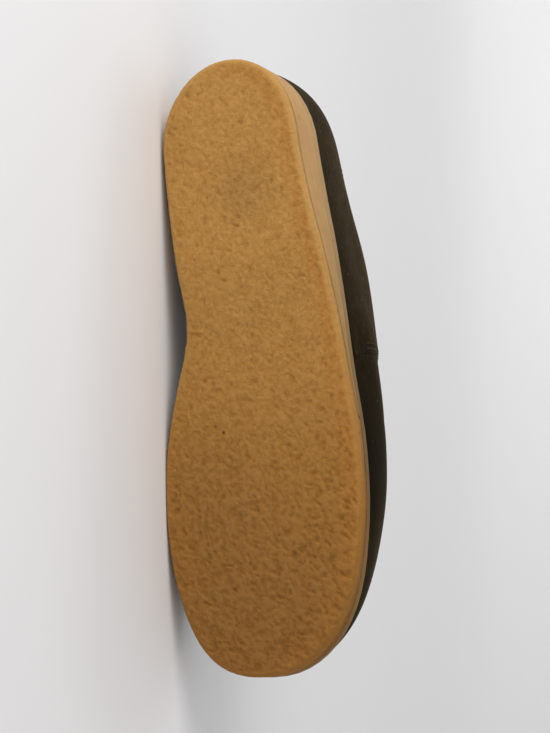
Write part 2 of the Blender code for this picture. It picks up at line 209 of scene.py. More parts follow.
class Finish:
    def __init__(self, name):
        self.material = bpy.data.materials.new(name)
        self.material.use_nodes = True
        self.nodes = self.material.node_tree.nodes
        self.links = self.material.node_tree.links
        self.nodes.clear()

    def node(self, kind, settings, sockets, output=0):
        made = self.nodes.new(kind)
        for key, value in settings.items():
            setattr(made, key, value)
        for key, value in sockets.items():
            if isinstance(value, Value):
                self.links.new(value.socket, made.inputs[key])
            else:
                made.inputs[key].default_value = value
        return Value(self, made.outputs[output]) if made.outputs else None

    def place(self):  # the boot's own millimetres
        spot = self.node("ShaderNodeTexCoord", {}, {}, "Object")
        turned = {"Vector": spot, "Location": tuple(lieOrigin), "Rotation": tuple(lieTurn)}
        return self.node("ShaderNodeMapping", {"vector_type": "TEXTURE"}, {**turned, "Scale": (0.001,) * 3})

    def parts(self, vector):
        return [self.node("ShaderNodeSeparateXYZ", {}, {0: vector}, k) for k in range(3)]

    def stretch(self, vector, scale, turn=(0, 0, 0)):
        return self.node("ShaderNodeMapping", {}, {"Vector": vector, "Scale": scale, "Rotation": turn})

    def kept(self, name):
        return self.node("ShaderNodeAttribute", {"attribute_name": name}, {}, "Fac")

    def speckle(self, vector, size, detail=2.0, rough=0.5, twist=0.0):  # size in the vector's own unit
        values = {"Vector": vector, "Scale": 1 / size, "Detail": detail, "Roughness": rough}
        return self.node("ShaderNodeTexNoise", {}, {**values, "Distortion": twist})

    def pebbles(self, vector, size, feature="SMOOTH_F1", **values):
        values = {"Vector": vector, "Scale": 1 / size, **values}
        return self.node("ShaderNodeTexVoronoi", {"feature": feature}, values)

    def near(self, vector, spot, inner, outer):  # 1 at the spot, 0 past outer
        away = self.node("ShaderNodeVectorMath", {"operation": "DISTANCE"}, {0: vector, 1: spot}, "Value")
        return 1 - away.rise(inner, outer)

    def spots(self, vector, places):  # each with its middle, inner and outer reach, and strength
        return sum(self.near(vector, *reach) * strength for *reach, strength in places)

    def mix(self, share, first, second):
        ends = [(*c, 1) if isinstance(c, tuple) else c for c in (first, second)]
        settings = {"data_type": "RGBA", "clamp_factor": True}
        return self.node("ShaderNodeMix", settings, {0: share, 6: ends[0], 7: ends[1]}, 2)

    def bump(self, height, depth, strength):
        return self.node("ShaderNodeBump", {}, {"Height": height, "Distance": depth, "Strength": strength})

    def surface(self, colour, roughness, normal, **fixed):
        values = {"Base Color": colour, "Roughness": roughness, "Normal": normal}
        values.update({key.replace("_", " "): value for key, value in fixed.items()})
        shader = self.node("ShaderNodeBsdfPrincipled", {}, values)
        self.node("ShaderNodeOutputMaterial", {}, {"Surface": shader})
        return self.material


# camera at the photo's angle: heel at the top, the lateral side to the right
cameraLook = {"elevation": 13.38, "azimuth": 4.36, "roll": -2.29, "distance": 0.6653, "focal": 1261.2}
cameraFrame = {"height": 733, "bootRight": 20.6, "bootDown": 2.9, "sensor": 36.0, "clip": (0.02, 60.0)}


def makeCamera():
    middle = (cadBox[0] + cadBox[1]) / 2
    e, a, r = (math.radians(cameraLook[k]) for k in ("elevation", "azimuth", "roll"))
    toward = Vector((math.sin(a) * math.cos(e), -math.cos(a) * math.cos(e), math.sin(e)))
    level = (-toward).cross(Vector((0, 0, 1))).normalized()
    upward = level.cross(-toward)
    right = upward * math.cos(r) - level * math.sin(r)
    top = -level * math.cos(r) - upward * math.sin(r)
    eye = middle + toward * cameraLook["distance"]
    pixel = cameraLook["distance"] / cameraLook["focal"]
    aim = middle - right * cameraFrame["bootRight"] * pixel + top * cameraFrame["bootDown"] * pixel
    back = (eye - aim).normalized()
    top = back.cross(right).normalized()
    right = top.cross(back)
    data = bpy.data.cameras.new("camera")
    data.sensor_width = cameraFrame["sensor"]
    data.lens = cameraLook["focal"] * cameraFrame["sensor"] / cameraFrame["height"]
    data.clip_start, data.clip_end = cameraFrame["clip"]
    camera = bpy.data.objects.new("camera", data)
    bpy.context.scene.collection.objects.link(camera)
    camera.matrix_world = Matrix.Translation(eye) @ Matrix((right, top, back)).transposed().to_4x4()
    bpy.context.scene.camera = camera


makeCamera()
print("camera set")


# crepe outsole: crinkled tread, smoother side
crepe = {
    "cell": 0.00095,
    "crinkle": 0.36,  # millimetres of relief on the tread
    "sideRelief": 0.3,
    "seed": 5,
    "squash": 0.6,  # the pattern up the side, against along it
    "warp": 3.2,
    "warpSize": 7.0,
    "wormSize": 2.7,
    "wormSlope": 3.2,
    "curlSize": 4.0,
    "curlSlope": 3.0,
    "curlShift": (31, 7, 0),
    "pitSize": 2.9,
    "pitWarp": 0.7,
    "pitEdge": 0.42,
    "shares": (0.5, 0.4, 0.9),  # of worms, curls and pits
    "level": 0.1,
    "limits": (-1.3, 1.2),
    "treadFacing": (0.55, 0.85),  # how far a face looks down, for the tread and for the side
    "sideFacing": (-0.6, -0.2),
    "wallFacing": 0.6,
    "foreGain": 1.45,  # livelier crinkles under the forefoot
    "foreReach": (120, 235),
    "roughPatch": ((243, -36), 30, 1.5),  # and most of all at its lateral side
    "rimShare": 0.45,  # relief left at the rim
    "rimReach": (0.4, 3.0),
    "slit": 30.0,  # length past the wedge's tip where the sheet meets the midsole
    "slitStart": (0.5, 2.0),
    "slitLift": (3, 8),
    "seam": 0.3,
    "probes": (-40, 60),  # heights below and above all of the sole
}
crepeTints = {  # two colours run from the heel to the fore, or up the side
    "base": ((0.478, 0.249, 0.064), (0.325, 0.141, 0.0255)),
    "toe": (0.284, 0.118, 0.0245),
    "cloud": ((0.365, 0.172, 0.036), (0.285, 0.123, 0.023)),
    "mottle": ((0.53, 0.280, 0.078), (0.40, 0.188, 0.043)),
    "warm": (0.42, 0.165, 0.028),
    "dirt": (0.205, 0.105, 0.036),
    # pits and peaks: painted shade in the relief's hollows, painted highlight on its ridges
    "pits": (0.22, 0.094, 0.017),
    "peaks": ((0.58, 0.33, 0.105), (0.45, 0.232, 0.066)),
    "specks": (0.055, 0.024, 0.010),
    # edge and toeEdge: the tread's rim, partly painted highlight
    "edge": ((0.53, 0.30, 0.090), (0.45, 0.217, 0.053)),
    "toeEdge": (0.29, 0.121, 0.025),
    # heelSide and foreSide: the darker fore colours and the darker colours up towards the upper are painted
    # shade
    "heelSide": ((0.52, 0.300, 0.098), (0.43, 0.235, 0.077)),
    "foreSide": ((0.40, 0.180, 0.034), (0.27, 0.118, 0.020)),
    "streak": ((0.35, 0.180, 0.055), (0.215, 0.094, 0.018)),
    "sideMottle": ((0.56, 0.32, 0.115), (0.40, 0.190, 0.050)),
}
crepeSpots = {  # middle, inner and outer reach in the boot's millimetres, strength
    "dirt": (((66, -7, 0), 2, 24, 0.45), ((207, 24, 0), 4, 42, 0.3), ((246, 8, 2), 8, 52, 0.3)),
    "specks": (
        ((182.0, 16.3, 0), 0.3, 1.2, 0.85),
        ((178.7, 20.2, 0), 0.2, 1.1, 0.55),
        ((196.5, -22.0, 0), 0.2, 1.0, 0.4),
    ),
}


def crepeRelief(points):  # heights from about -1 to 1: curled ridges with pits between them
    noise.seed_set(crepe["seed"])  # else the warp differs from run to run
    shift = Vector(crepe["curlShift"])
    wormShare, curlShare, pitShare = crepe["shares"]
    heights = np.empty(len(points))
    for i, (x, y, z) in enumerate(points):
        spot = Vector((x, y, z * crepe["squash"]))
        warp = noise.noise_vector(spot / crepe["warpSize"]) * crepe["warp"]
        worm = 1 - crepe["wormSlope"] * abs(noise.noise((spot + warp) / crepe["wormSize"]))
        curl = 1 - crepe["curlSlope"] * abs(noise.noise((spot - warp) / crepe["curlSize"] + shift))
        away = noise.voronoi((spot + warp * crepe["pitWarp"]) / crepe["pitSize"])[0][0]
        pit = max(0.0, crepe["pitEdge"] - away) / crepe["pitEdge"]
        heights[i] = wormShare * worm + curlShare * curl - pitShare * pit + crepe["level"]
    return np.clip(heights, *crepe["limits"])


def fillSlit(points, lift):  # past the wedge's tip the sheet rises to the midsole
    tip = bootPoints(frame["nodes"]["heel_wedge"])[:, 0].max()
    marks = np.arange(tip, tip + crepe["slit"], 2.0)
    sheet, midsole = solidTree("outsole"), solidTree("midsole")
    below, above = crepe["probes"]
    room = [max(0, levelAt(midsole, m, below) - levelAt(sheet, m, above) - crepe["seam"]) for m in marks]
    rise = np.interp(points[:, 0], marks, room, right=0) * soften(points[:, 0] - tip, *crepe["slitStart"])
    points[:, 2] += rise * soften(lift, *crepe["slitLift"])


def makeOutsole():
    sole = takeNode("outsole", "crepe_outsole")
    modify(sole, "REMESH", mode="VOXEL", voxel_size=crepe["cell"])
    modify(sole, "SMOOTH", factor=0.5, iterations=3)
    points, normals = bootPoints(sole), bootNormals(sole)
    marks = np.arange(0, 301, 6)
    ground = [points[np.abs(points[:, 0] - mark) < 4, 2].min() for mark in marks]
    lift = points[:, 2] - np.interp(points[:, 0], marks, ground)
    fillSlit(points, lift)
    tread = soften(-normals[:, 2], *crepe["treadFacing"])
    side = soften(-normals[:, 2], *crepe["sideFacing"]) * (1 - tread)
    wall = np.flatnonzero(np.abs(normals[:, 2]) < crepe["wallFacing"])
    rimTree = KDTree(len(wall))
    for k, i in enumerate(wall):
        rimTree.insert((points[i, 0], points[i, 1], 0), k)
    rimTree.balance()
    rim = np.array([rimTree.find((x, y, 0))[2] for x, y in points[:, :2]])
    heights = crepeRelief(points)
    centre, reach, gain = crepe["roughPatch"]
    away = np.hypot(points[:, 0] - centre[0], points[:, 1] - centre[1])
    lively = 1 + (gain - 1) * np.exp(-((away / reach) ** 2))
    lively = lively * (1 + (crepe["foreGain"] - 1) * soften(points[:, 0], *crepe["foreReach"]))
    calm = crepe["rimShare"] + (1 - crepe["rimShare"]) * soften(rim, *crepe["rimReach"])
    share = tread * lively * calm + side * crepe["sideRelief"]
    setBootPoints(sole, points + normals * (heights * share * crepe["crinkle"])[:, None])
    keep(sole, "relief", heights * share)
    keep(sole, "rim", rim)
    keep(sole, "tread", tread)
    keep(sole, "lift", lift)
    smoothShade(sole, 80)
    return sole


def crepeFinish():
    f = Finish("crepe")
    place = f.place()
    along, across = f.parts(place)[:2]
    relief, rim, tread, lift = (f.kept(name) for name in ("relief", "rim", "tread", "lift"))
    loose = f.stretch(place, (1.0, 1.12, 1.0), (0, 0, 0.5))
    grain = f.pebbles(loose, 2.1, Randomness=1.0, Smoothness=0.6)
    fine = f.speckle(loose, 1.2, 3.0, 0.6, 0.8)
    mottle = f.speckle(place, 7.5, 3.0, 0.55, 0.6)
    cloud = f.speckle(place, 38.0, 2.0, 0.5)
    strokes = 1 - abs(f.speckle(loose, 2.5, 2.0, 0.55, 1.0) - 0.5).rise(0.01, 0.075)

    fore = along.rise(60, 240)
    ahead = along.rise(100, 250)
    colour = f.mix(along.rise(75, 245), *crepeTints["base"])
    colour = f.mix(along.rise(225, 290), colour, crepeTints["toe"])
    colour = f.mix((cloud - 0.35) * 0.9, colour, f.mix(ahead, *crepeTints["cloud"]))
    colour = f.mix((mottle - 0.45) * 0.9, colour, f.mix(ahead, *crepeTints["mottle"]))
    warm = rim.rise(1.2, 3.0) * (1 - rim.rise(5.0, 11.0)) * across.rise(12, -12) * mottle
    colour = f.mix(warm * 0.8, colour, crepeTints["warm"])
    colour = f.mix(f.spots(place, crepeSpots["dirt"]) * mottle * 1.3, colour, crepeTints["dirt"])
    # darker in the relief's hollows: painted shade, with darker grain cells and strokes
    pits = (0.15 - relief).rise(0.0, 1.0) * 0.36 + (grain - 0.3).rise(0.0, 0.5) * 0.16 + strokes * 0.17
    colour = f.mix(pits, colour, crepeTints["pits"])
    # lighter on the relief's ridges: painted highlight, with light fine speckle
    peaks = relief.rise(0.2, 0.8) * 0.22 + fine.rise(0.52, 0.75) * 0.16
    colour = f.mix(peaks, colour, f.mix(ahead, *crepeTints["peaks"]))
    colour = f.mix(f.spots(place, crepeSpots["specks"]), colour, crepeTints["specks"])
    # a lighter rim along the tread's edge, less of it at the toe: partly painted highlight on the rounded
    # edge, partly the rim's own lighter tone
    edge = (1 - rim.rise(0.3, 3.4)) * tread
    colour = f.mix(edge * 0.6, colour, f.mix(fore, *crepeTints["edge"]))
    colour = f.mix(edge * along.rise(235, 275) * 0.6, colour, crepeTints["toeEdge"])

    streak = f.speckle(f.stretch(place, (0.1, 0.1, 1.6)), 1.6, 2.0)
    # the side band darker towards the forefoot and up towards the upper: painted shade
    heelSide = f.mix(lift.rise(1.5, 4.5), *crepeTints["heelSide"])
    foreSide = f.mix(lift.rise(2.5, 8.0), *crepeTints["foreSide"])
    band = f.mix(fore, heelSide, foreSide)
    band = f.mix((streak - 0.3) * 0.9, band, f.mix(fore, *crepeTints["streak"]))
    band = f.mix((mottle - 0.5) * 1.2, band, f.mix(fore, *crepeTints["sideMottle"]))
    colour = f.mix(tread, band, colour)

    height = grain * -0.6 + fine * 0.35 + mottle * 0.3 - strokes * 0.3
    normal = f.bump(height, 0.0005, 0.75)
    roughness = 0.68 + fine * 0.2
    return f.surface(colour, roughness, normal, Specular_IOR_Level=0.14)


outsole = makeOutsole()
outsole.data.materials.append(crepeFinish())
settle(outsole, "crepe", "outsole")
print("outsole:", len(outsole.data.polygons), "faces")


# wedge and midsole: smooth rubber sheets, seen as bands along the side
bands = {
    "bevel": 0.00045,
    # colours at the heel, at the ball and of the streaks
    # the ball's darker colours are painted shade of the forefoot's side
    "wedge": ((0.495, 0.289, 0.117), (0.285, 0.170, 0.047), (0.375, 0.205, 0.076)),
    "midsole": ((0.445, 0.281, 0.128), (0.165, 0.097, 0.036), (0.245, 0.155, 0.066)),
    "toe": (0.265, 0.140, 0.042),
}


def makeSheet(node, name, bevel):  # a flat solid with its edges rounded
    sheet = takeNode(node, name)
    modify(sheet, "BEVEL", width=bevel, segments=3, angle_limit=math.radians(50))
    smoothShade(sheet, 60)
    return sheet


def bandFinish(name, heel, fore, streakColour):
    f = Finish(name)
    place = f.place()
    along = f.parts(place)[0]
    streak = f.speckle(f.stretch(place, (0.05, 0.05, 1.3)), 1.5, 3.0, 0.6)
    cloud = f.speckle(place, 16.0, 3.0, 0.55)
    grime = f.speckle(place, 4.0, 3.0, 0.6)
    # darker from the heel to the ball: painted shade
    ahead = along.rise(20, 205)
    colour = f.mix(ahead, heel, fore)
    colour = f.mix((streak - 0.35) * 1.3, colour, f.mix(along.rise(100, 200), streakColour, fore))
    worn = f.mix(ahead, tuple(0.68 * c for c in heel), tuple(0.8 * c for c in fore))
    colour = f.mix((cloud - 0.4) * 1.1, colour, worn)
    colour = f.mix(along.rise(205, 275), colour, bands["toe"])
    colour = f.mix(grime.rise(0.62, 0.8) * 0.35, colour, tuple(0.5 * c for c in fore))
    normal = f.bump(streak * 0.6 + grime * 0.4, 0.0003, 0.6)
    return f.surface(colour, 0.55 + grime * 0.25, normal, Specular_IOR_Level=0.18)


heelWedge = makeSheet("heel_wedge", "heel_wedge_band", bands["bevel"])
heelWedge.data.materials.append(bandFinish("wedge rubber", *bands["wedge"]))
settle(heelWedge, "crepe_edge", "heel_wedge")
midsole = makeSheet("midsole", "midsole_band", bands["bevel"])
midsole.data.materials.append(bandFinish("midsole rubber", *bands["midsole"]))
settle(midsole, "midsole", "midsole")
print("wedge and midsole done")


# insole: tan leather, darker where heel and ball tread
insoleLook = {
    "bevel": 0.0006,
    "leather": ((0.33, 0.195, 0.095), (0.22, 0.120, 0.055)),
    "worn": (0.15, 0.085, 0.042),
    "wornSpots": (((45, 0, 27), 6, 40, 0.5), ((205, 2, 18), 8, 55, 0.5)),
}


def makeInsole():
    sock = makeSheet("insole", "insole_sock", insoleLook["bevel"])
    f = Finish("insole leather")
    place = f.place()
    hide = f.pebbles(place, 0.9, "F1", Randomness=1.0)
    cloud = f.speckle(place, 22.0, 3.0, 0.55)
    colour = f.mix((cloud - 0.35) * 0.9, *insoleLook["leather"])
    colour = f.mix(f.spots(place, insoleLook["wornSpots"]), colour, insoleLook["worn"])
    normal = f.bump(hide, 0.00015, 0.5)
    sock.data.materials.append(f.surface(colour, 0.42 + cloud * 0.25, normal, Specular_IOR_Level=0.4))
    settle(sock, "insole", "insole")


makeInsole()
print("insole done")


# suede upper: one wall with the quarters lapped over the vamp
upperLook = {
    "bevel": 0.0005,
    "sharp": 38,  # degrees between two sheets of the wall
    "straight": (40, 230),  # along the boot, where its sides face across
    "middle": 120,
    "lap": 1.2,  # millimetres from the quarters' face down to the vamp's
    "skive": 0.9,  # pressed down at the quarters' front edges, over this reach and below this height
    "skiveReach": 7.0,
    "skiveTop": 84.0,
    "skiveFrom": 140.0,
    "step": 0.8,
    "creases": (
        # two ends and the middle in the boot's millimetres, half width, trough, ridges beside it
        ((205, -37, 60), (203, 0, 74), (208, 36, 60), 4.0, 1.10, 0.50),
        ((218, -36, 56), (215, 0, 69), (222, 35, 56), 4.4, 1.30, 0.60),
        ((231, -33, 52), (228, 0, 64), (236, 33, 52), 3.8, 0.75, 0.35),
        ((128, -39, 72), (138, -33, 84), (147, -25, 97), 4.6, 0.85, 0.40),
        ((126, 33, 70), (136, 27, 82), (145, 22, 96), 4.6, 0.85, 0.40),
        ((30, -29, 90), (58, -31, 88), (88, -31, 92), 5.5, 0.55, 0.25),
        ((30, 29, 88), (58, 31, 86), (88, 30, 91), 5.5, 0.55, 0.25),
        ((124, -45, 36), (151, -47, 36), (184, -51, 35), 13.0, -2.0, 0.0),  # a swell, not a trough
    ),
}


def sheets(piece):  # faces grouped by the sharp edges between them, largest first
    shell = bmesh.new()
    shell.from_mesh(piece.data)
    shell.faces.ensure_lookup_table()
    group = [-1] * len(shell.faces)
    areas = []
    for start in shell.faces:
        if group[start.index] >= 0:
            continue
        group[start.index] = len(areas)
        areas.append(0.0)
        todo = [start]
        while todo:
            face = todo.pop()
            areas[-1] += face.calc_area()
            for edge in face.edges:
                if edge.calc_face_angle(math.pi) > math.radians(upperLook["sharp"]):
                    continue
                for other in edge.link_faces:
                    if group[other.index] < 0:
                        group[other.index] = group[start.index]
                        todo.append(other)
    order = np.argsort(areas)[::-1]
    rank = {int(g): k for k, g in enumerate(order)}
    shell.free()
    return np.array([rank[g] for g in group])


def facesInward(piece, chosen):  # whether a sheet's faces look at the middle of the boot
    total = 0.0
    back, front = upperLook["straight"]
    for i in chosen[::7]:  # every seventh will do
        face = piece.data.polygons[int(i)]
        spot = toBoot @ face.center
        ahead = 0 if back < spot.x < front else spot.x - upperLook["middle"]
        outward = Vector((ahead, spot.y, 0))
        total += (toBoot.to_3x3() @ face.normal).normalized().dot(outward) * face.area
    return total < 0


def crease(piece, points):  # millimetres out of the wall, less than nothing in a trough
    wall = BVHTree.FromObject(piece, bpy.context.evaluated_depsgraph_get())
    moved = np.zeros(len(points))
    t = np.linspace(0, 1, 60)[:, None]
    for start, middle, end, width, trough, ridge in upperLook["creases"]:
        a, b, c = (np.array(p, float) for p in (start, middle, end))
        line = a * (1 - t) * (1 - 2 * t) + b * 4 * t * (1 - t) + c * t * (2 * t - 1)
        line = np.array([(toBoot @ wall.find_nearest(toRow @ Vector(p))[0])[:] for p in line])
        for part in batches(len(points)):
            away = np.linalg.norm(points[part][:, None, :] - line[None, :, :], axis=2)
            near = away.min(axis=1)
            fade = np.sin(np.pi * (0.03 + 0.94 * away.argmin(axis=1) / (len(t) - 1))) ** 0.8
            dip = -trough * np.exp(-((near / width) ** 2))
            swell = ridge * np.exp(-(((near - 2.1 * width) / (0.9 * width)) ** 2))
            moved[part] += (dip + swell) * fade
    return moved


def skive(points, edges):  # millimetres that the quarters' front edges are pressed down on the vamp
    pressed = np.zeros(len(points))
    reach = upperLook["skiveReach"]
    for side in (-1, 1):
        front = (edges[:, 2] < upperLook["skiveTop"]) & (edges[:, 0] > upperLook["skiveFrom"])
        line = spread(edges[front & (edges[:, 1] * side > 0)], upperLook["step"])
        for part in batches(len(points)):
            away = points[part][:, None, :] - line[None, :, :3]
            nearest = np.linalg.norm(away, axis=2).argmin(axis=1)
            away = away[np.arange(len(away)), nearest]
            height = (away * line[nearest, 3:6]).sum(axis=1)
            behind = (away * line[nearest, 6:]).sum(axis=1)
            share = np.clip(1 + height / upperLook["lap"], 0, 1) * (1 - soften(behind, 0, reach))
            share[np.linalg.norm(away, axis=1) > reach + 1] = 0
            pressed[part] += upperLook["skive"] * share
    return pressed


def makeUpper():
    upper = takeNode("upper", "suede_upper")
    group = sheets(upper)
    inner = next(rank for rank in range(3) if facesInward(upper, np.flatnonzero(group == rank)))
    upper.data.materials.append(suedeFinish("suede", 1.0))
    upper.data.materials.append(liningFinish())
    upper.data.polygons.foreach_set("material_index", (group == inner).astype(np.int32))
    edges = stitchLines(upper, group, inner)
    modify(upper, "BEVEL", width=upperLook["bevel"], segments=2, angle_limit=math.radians(40))
    modify(upper, "SUBSURF", levels=2, render_levels=2)
    points, normals = bootPoints(upper), bootNormals(upper)
    inside = list({v for face in upper.data.polygons if face.material_index == 1 for v in face.vertices})
    pressed = skive(points, edges)
    pressed[inside] = 0
    normals[inside] *= -1
    setBootPoints(upper, points + normals * (crease(upper, points) - pressed)[:, None])
    smoothShade(upper, 50)
    return upper, edges


suedeTints = {
    "dark": (0.0140, 0.0090, 0.0036),
    "plain": (0.0255, 0.0169, 0.0071),
    "brushed": (0.054, 0.037, 0.0172),
    "tips": (0.070, 0.050, 0.026),
    # deep: the nap's dark depths, and also the painted shade at the ball and the darkening near the sole
    "deep": (0.0052, 0.0032, 0.0012),
}
lintTint, seamTint = (0.28, 0.24, 0.19), (0.006, 0.004, 0.003)


def suedeFinish(name, tone):
    f = Finish(name)
    place = f.place()
    along, across, up = f.parts(place)
    nap = f.speckle(place, 0.55, 3.0, 0.65)
    brushed = f.speckle(f.stretch(place, (0.4, 1.0, 1.0), (0, 0.3, 0.2)), 1.9, 3.0, 0.6, 0.8)
    cloud = f.speckle(place, 26.0, 3.0, 0.55, 0.5)
    shades = {key: tuple(tone * c for c in value) for key, value in suedeTints.items()}
    colour = f.mix(cloud.rise(0.3, 0.7), shades["dark"], shades["plain"])
    colour = f.mix(brushed.rise(0.45, 0.68) * 0.68, colour, shades["brushed"])
    colour = f.mix(nap.rise(0.5, 0.75) * 0.5, colour, shades["tips"])
    colour = f.mix(nap.rise(0.48, 0.28) * 0.5, colour, shades["deep"])
    # painted shade: the lateral side of the ball, low on the upper, darkened towards the deep tint
    ball = along.rise(130, 195) * (1 - along.rise(215, 252)) * across.rise(15, -15) * (1 - up.rise(30, 56))
    colour = f.mix(ball * 0.92, colour, shades["deep"])
    # darker low on the upper, near the sole: partly painted shade where the upper meets the sole, partly
    # grime
    colour = f.mix((1 - up.rise(25, 52)) * 0.5, colour, shades["deep"])
    lint = f.pebbles(place, 7.0, "F1", Randomness=1.0)
    colour = f.mix((1 - lint.rise(0.03, 0.055)) * 0.5, colour, lintTint)
    seam = (1 - abs(across - 0.2).rise(0.25, 0.75)) * along.rise(14, 10)
    colour = f.mix(seam * 0.8, colour, seamTint)
    height = nap * 0.5 + brushed * 0.6 - seam * 1.4
    normal = f.bump(height, 0.00035, 0.8)
    return f.surface(colour, 0.92 + nap * 0.06, normal, Specular_IOR_Level=0.03, Sheen_Weight=0.10,
                     Sheen_Roughness=0.4, Sheen_Tint=(0.80, 0.64, 0.40, 1))


def liningFinish():
    f = Finish("lining leather")
    place = f.place()
    hide = f.pebbles(place, 0.8, "F1", Randomness=1.0)
    cloud = f.speckle(place, 18.0, 3.0, 0.55)
    colour = f.mix(cloud.rise(0.3, 0.72), (0.155, 0.088, 0.042), (0.215, 0.130, 0.066))
    colour = f.mix(hide.rise(0.5, 0.8) * 0.3, colour, (0.085, 0.046, 0.021))
    return f.surface(colour, 0.55 + cloud * 0.2, f.bump(hide, 0.00012, 0.45), Specular_IOR_Level=0.3)


# rows of stitches: measured from the quarters' own edge
stitch = {
    "length": 0.0024,
    "thick": 0.00034,
    "pitch": 0.0031,
    "rows": (2.0, 4.6),
    "soleLine": 26.0,
    "heelEnd": 5.0,  # only the quarters reach this far back
    "step": 0.8,
    "above": 4.0,  # rays start this far off the wall
    "reach": 0.008,
    "dive": 1.1,  # how far a stitch's ends go in, and its middle stands out, by its thickness
    "stand": 0.55,
    "backRows": (-2.6, 2.6),
    "backHeights": (30, 108),
    "behind": -60,
}


def stitchLines(upper, group, inner):
    # the quarters' open edge from one side of the sole to the other: its place, the way out of the wall
    # and the way into the quarter, nine columns
    places = bootPoints(upper)
    heels = [math.inf] * 3
    for face in upper.data.polygons:
        if group[face.index] < 3:
            heels[group[face.index]] = min(heels[group[face.index]], places[list(face.vertices), 0].min())
    quarter = next(k for k in range(3) if k != inner and heels[k] < stitch["heelEnd"])
    shell = bmesh.new()
    shell.from_mesh(upper.data)
    shell.faces.ensure_lookup_table()
    nexts = {}
    for edge in shell.edges:
        inside = [face for face in edge.link_faces if group[face.index] == quarter]
        a, b = (v.index for v in edge.verts)
        if len(inside) == 1 and max(places[a, 2], places[b, 2]) > stitch["soleLine"]:
            nexts.setdefault(a, []).append(b)
            nexts.setdefault(b, []).append(a)
    longest = []
    for first in (v for v, around in nexts.items() if len(around) == 1):
        chain = [first]
        while True:
            onward = [v for v in nexts[chain[-1]] if v not in chain[-2:]]
            if not onward or len(chain) > len(nexts):
                break
            chain.append(onward[0])
        longest = max(longest, chain, key=len)
    shell.verts.ensure_lookup_table()
    line = []
    for v in longest:
        faces = [face for face in shell.verts[v].link_faces if group[face.index] == quarter]
        spot = toBoot @ shell.verts[v].co
        out = (toBoot.to_3x3() @ sum((face.normal for face in faces), Vector())).normalized()
        into = toBoot @ (sum((face.calc_center_median() for face in faces), Vector()) / len(faces)) - spot
        into = (into - out * into.dot(out)).normalized()
        line.append((*spot, *out, *into))
    shell.free()
    return np.array(line)


upper, quarterEdge = makeUpper()
settle(upper, "suede", "upper")
print("upper:", len(upper.data.polygons), "faces, edge of", len(quarterEdge), "points")


# tongue: sunk a little so that the lace lies on it
tongueLook = {"sink": 2.1, "bevel": 0.0008, "tone": 1.12, "outward": (0.65, 0, 0.75)}


def makeTongue():
    tongue = takeNode("tongue", "suede_tongue")
    group = sheets(tongue)
    facing = KDTree(len(tongue.data.polygons))
    for face in tongue.data.polygons:
        outward = (toBoot.to_3x3() @ face.normal).normalized()
        if group[face.index] < 2 and outward.dot(Vector(tongueLook["outward"])) > 0.2:
            facing.insert(face.center, face.index)
    facing.balance()
    points = bootPoints(tongue)
    for vertex in tongue.data.vertices:
        outward = (toBoot.to_3x3() @ tongue.data.polygons[facing.find(vertex.co)[1]].normal).normalized()
        points[vertex.index] -= np.array(outward) * tongueLook["sink"]
    setBootPoints(tongue, points)
    modify(tongue, "BEVEL", width=tongueLook["bevel"], segments=2, angle_limit=math.radians(50))
    modify(tongue, "SUBSURF", levels=2, render_levels=2)
    tongue.data.materials.append(suedeFinish("tongue suede", tongueLook["tone"]))
    smoothShade(tongue, 50)
    settle(tongue, "suede", "tongue")


makeTongue()
print("tongue done")


# lace: one cord from the top eyelet of one side to that of the other, crossing over the tongue
lace = {
    "radius": 1.3,
    "step": 0.7,
    "bar": 178.0,  # along the boot, where it passes over the tongue's ridge
    "crossings": (168.0, 150.0),
    "hole": 2.03,  # from the middle of an eyelet to its wall
    "holeFace": 5e-6,  # square metres; every face of a hole's wall is smaller
    "holesAbove": 75.0,
    "holeClose": 1.6,  # faces that point this near to one middle, and so many of them, make a hole
    "holeFaces": 12,
    "holeApart": 5.0,
    "halfWall": 1.5,
    "tongueBelow": 0.8,  # the tongue's face under the last's
    "ridgeStep": 6.0,
    "overTongue": 160.0,
}


def findEyelets():  # the upper's holes, from the toe back: place on the last, direction outwards
    walls = []
    for face in frame["nodes"]["upper"].data.polygons:
        spot, out = toBoot @ face.center, (toBoot.to_3x3() @ face.normal).normalized()
        if face.area < lace["holeFace"] and spot.z > lace["holesAbove"]:
            walls.append((*(spot + out * lace["hole"]), *out))
    walls = np.array(walls)
    close = np.linalg.norm(walls[:, None, :3] - walls[None, :, :3], axis=2) < lace["holeClose"]
    holes = []
    for group in close[close.sum(1) >= lace["holeFaces"]]:  # the faces of one hole all look at its middle
        middle = walls[group, :3].mean(0)
        if all(np.linalg.norm(middle - place) > lace["holeApart"] for place, out in holes):
            axis = np.linalg.svd(walls[group, 3:])[2][2]
            axis = axis * np.sign(axis[2])
            holes.append((middle - axis * lace["halfWall"], axis))
    holes.sort(key=lambda hole: -hole[0][0])
    return [hole for hole in holes if hole[0][1] < 0], [hole for hole in holes if hole[0][1] > 0]


def findRidge(along):  # the same for a place on the tongue's ridge
    tongue = solidTree("tongue")
    step = lace["ridgeStep"]
    back, here, ahead = (levelAt(tongue, along + way * step, lace["overTongue"]) for way in (-1, 0, 1))
    out = np.array(Vector((back - ahead, 0, 2 * step)).normalized())
    return np.array((along, 0, here)) + out * lace["tongueBelow"], out


def laceRun(low, ridge, high, heights):  # one strand between two eyelets, by its heights off the last
    points = []
    for s, height in heights:
        weights = (s * (s - 1) / 2, 1 - s * s, s * (s + 1) / 2)
        spot, out = (sum(w * stop[k] for w, stop in zip(weights, (low, ridge, high))) for k in (0, 1))
        points.append(spot + out / np.linalg.norm(out) * height)
    return points


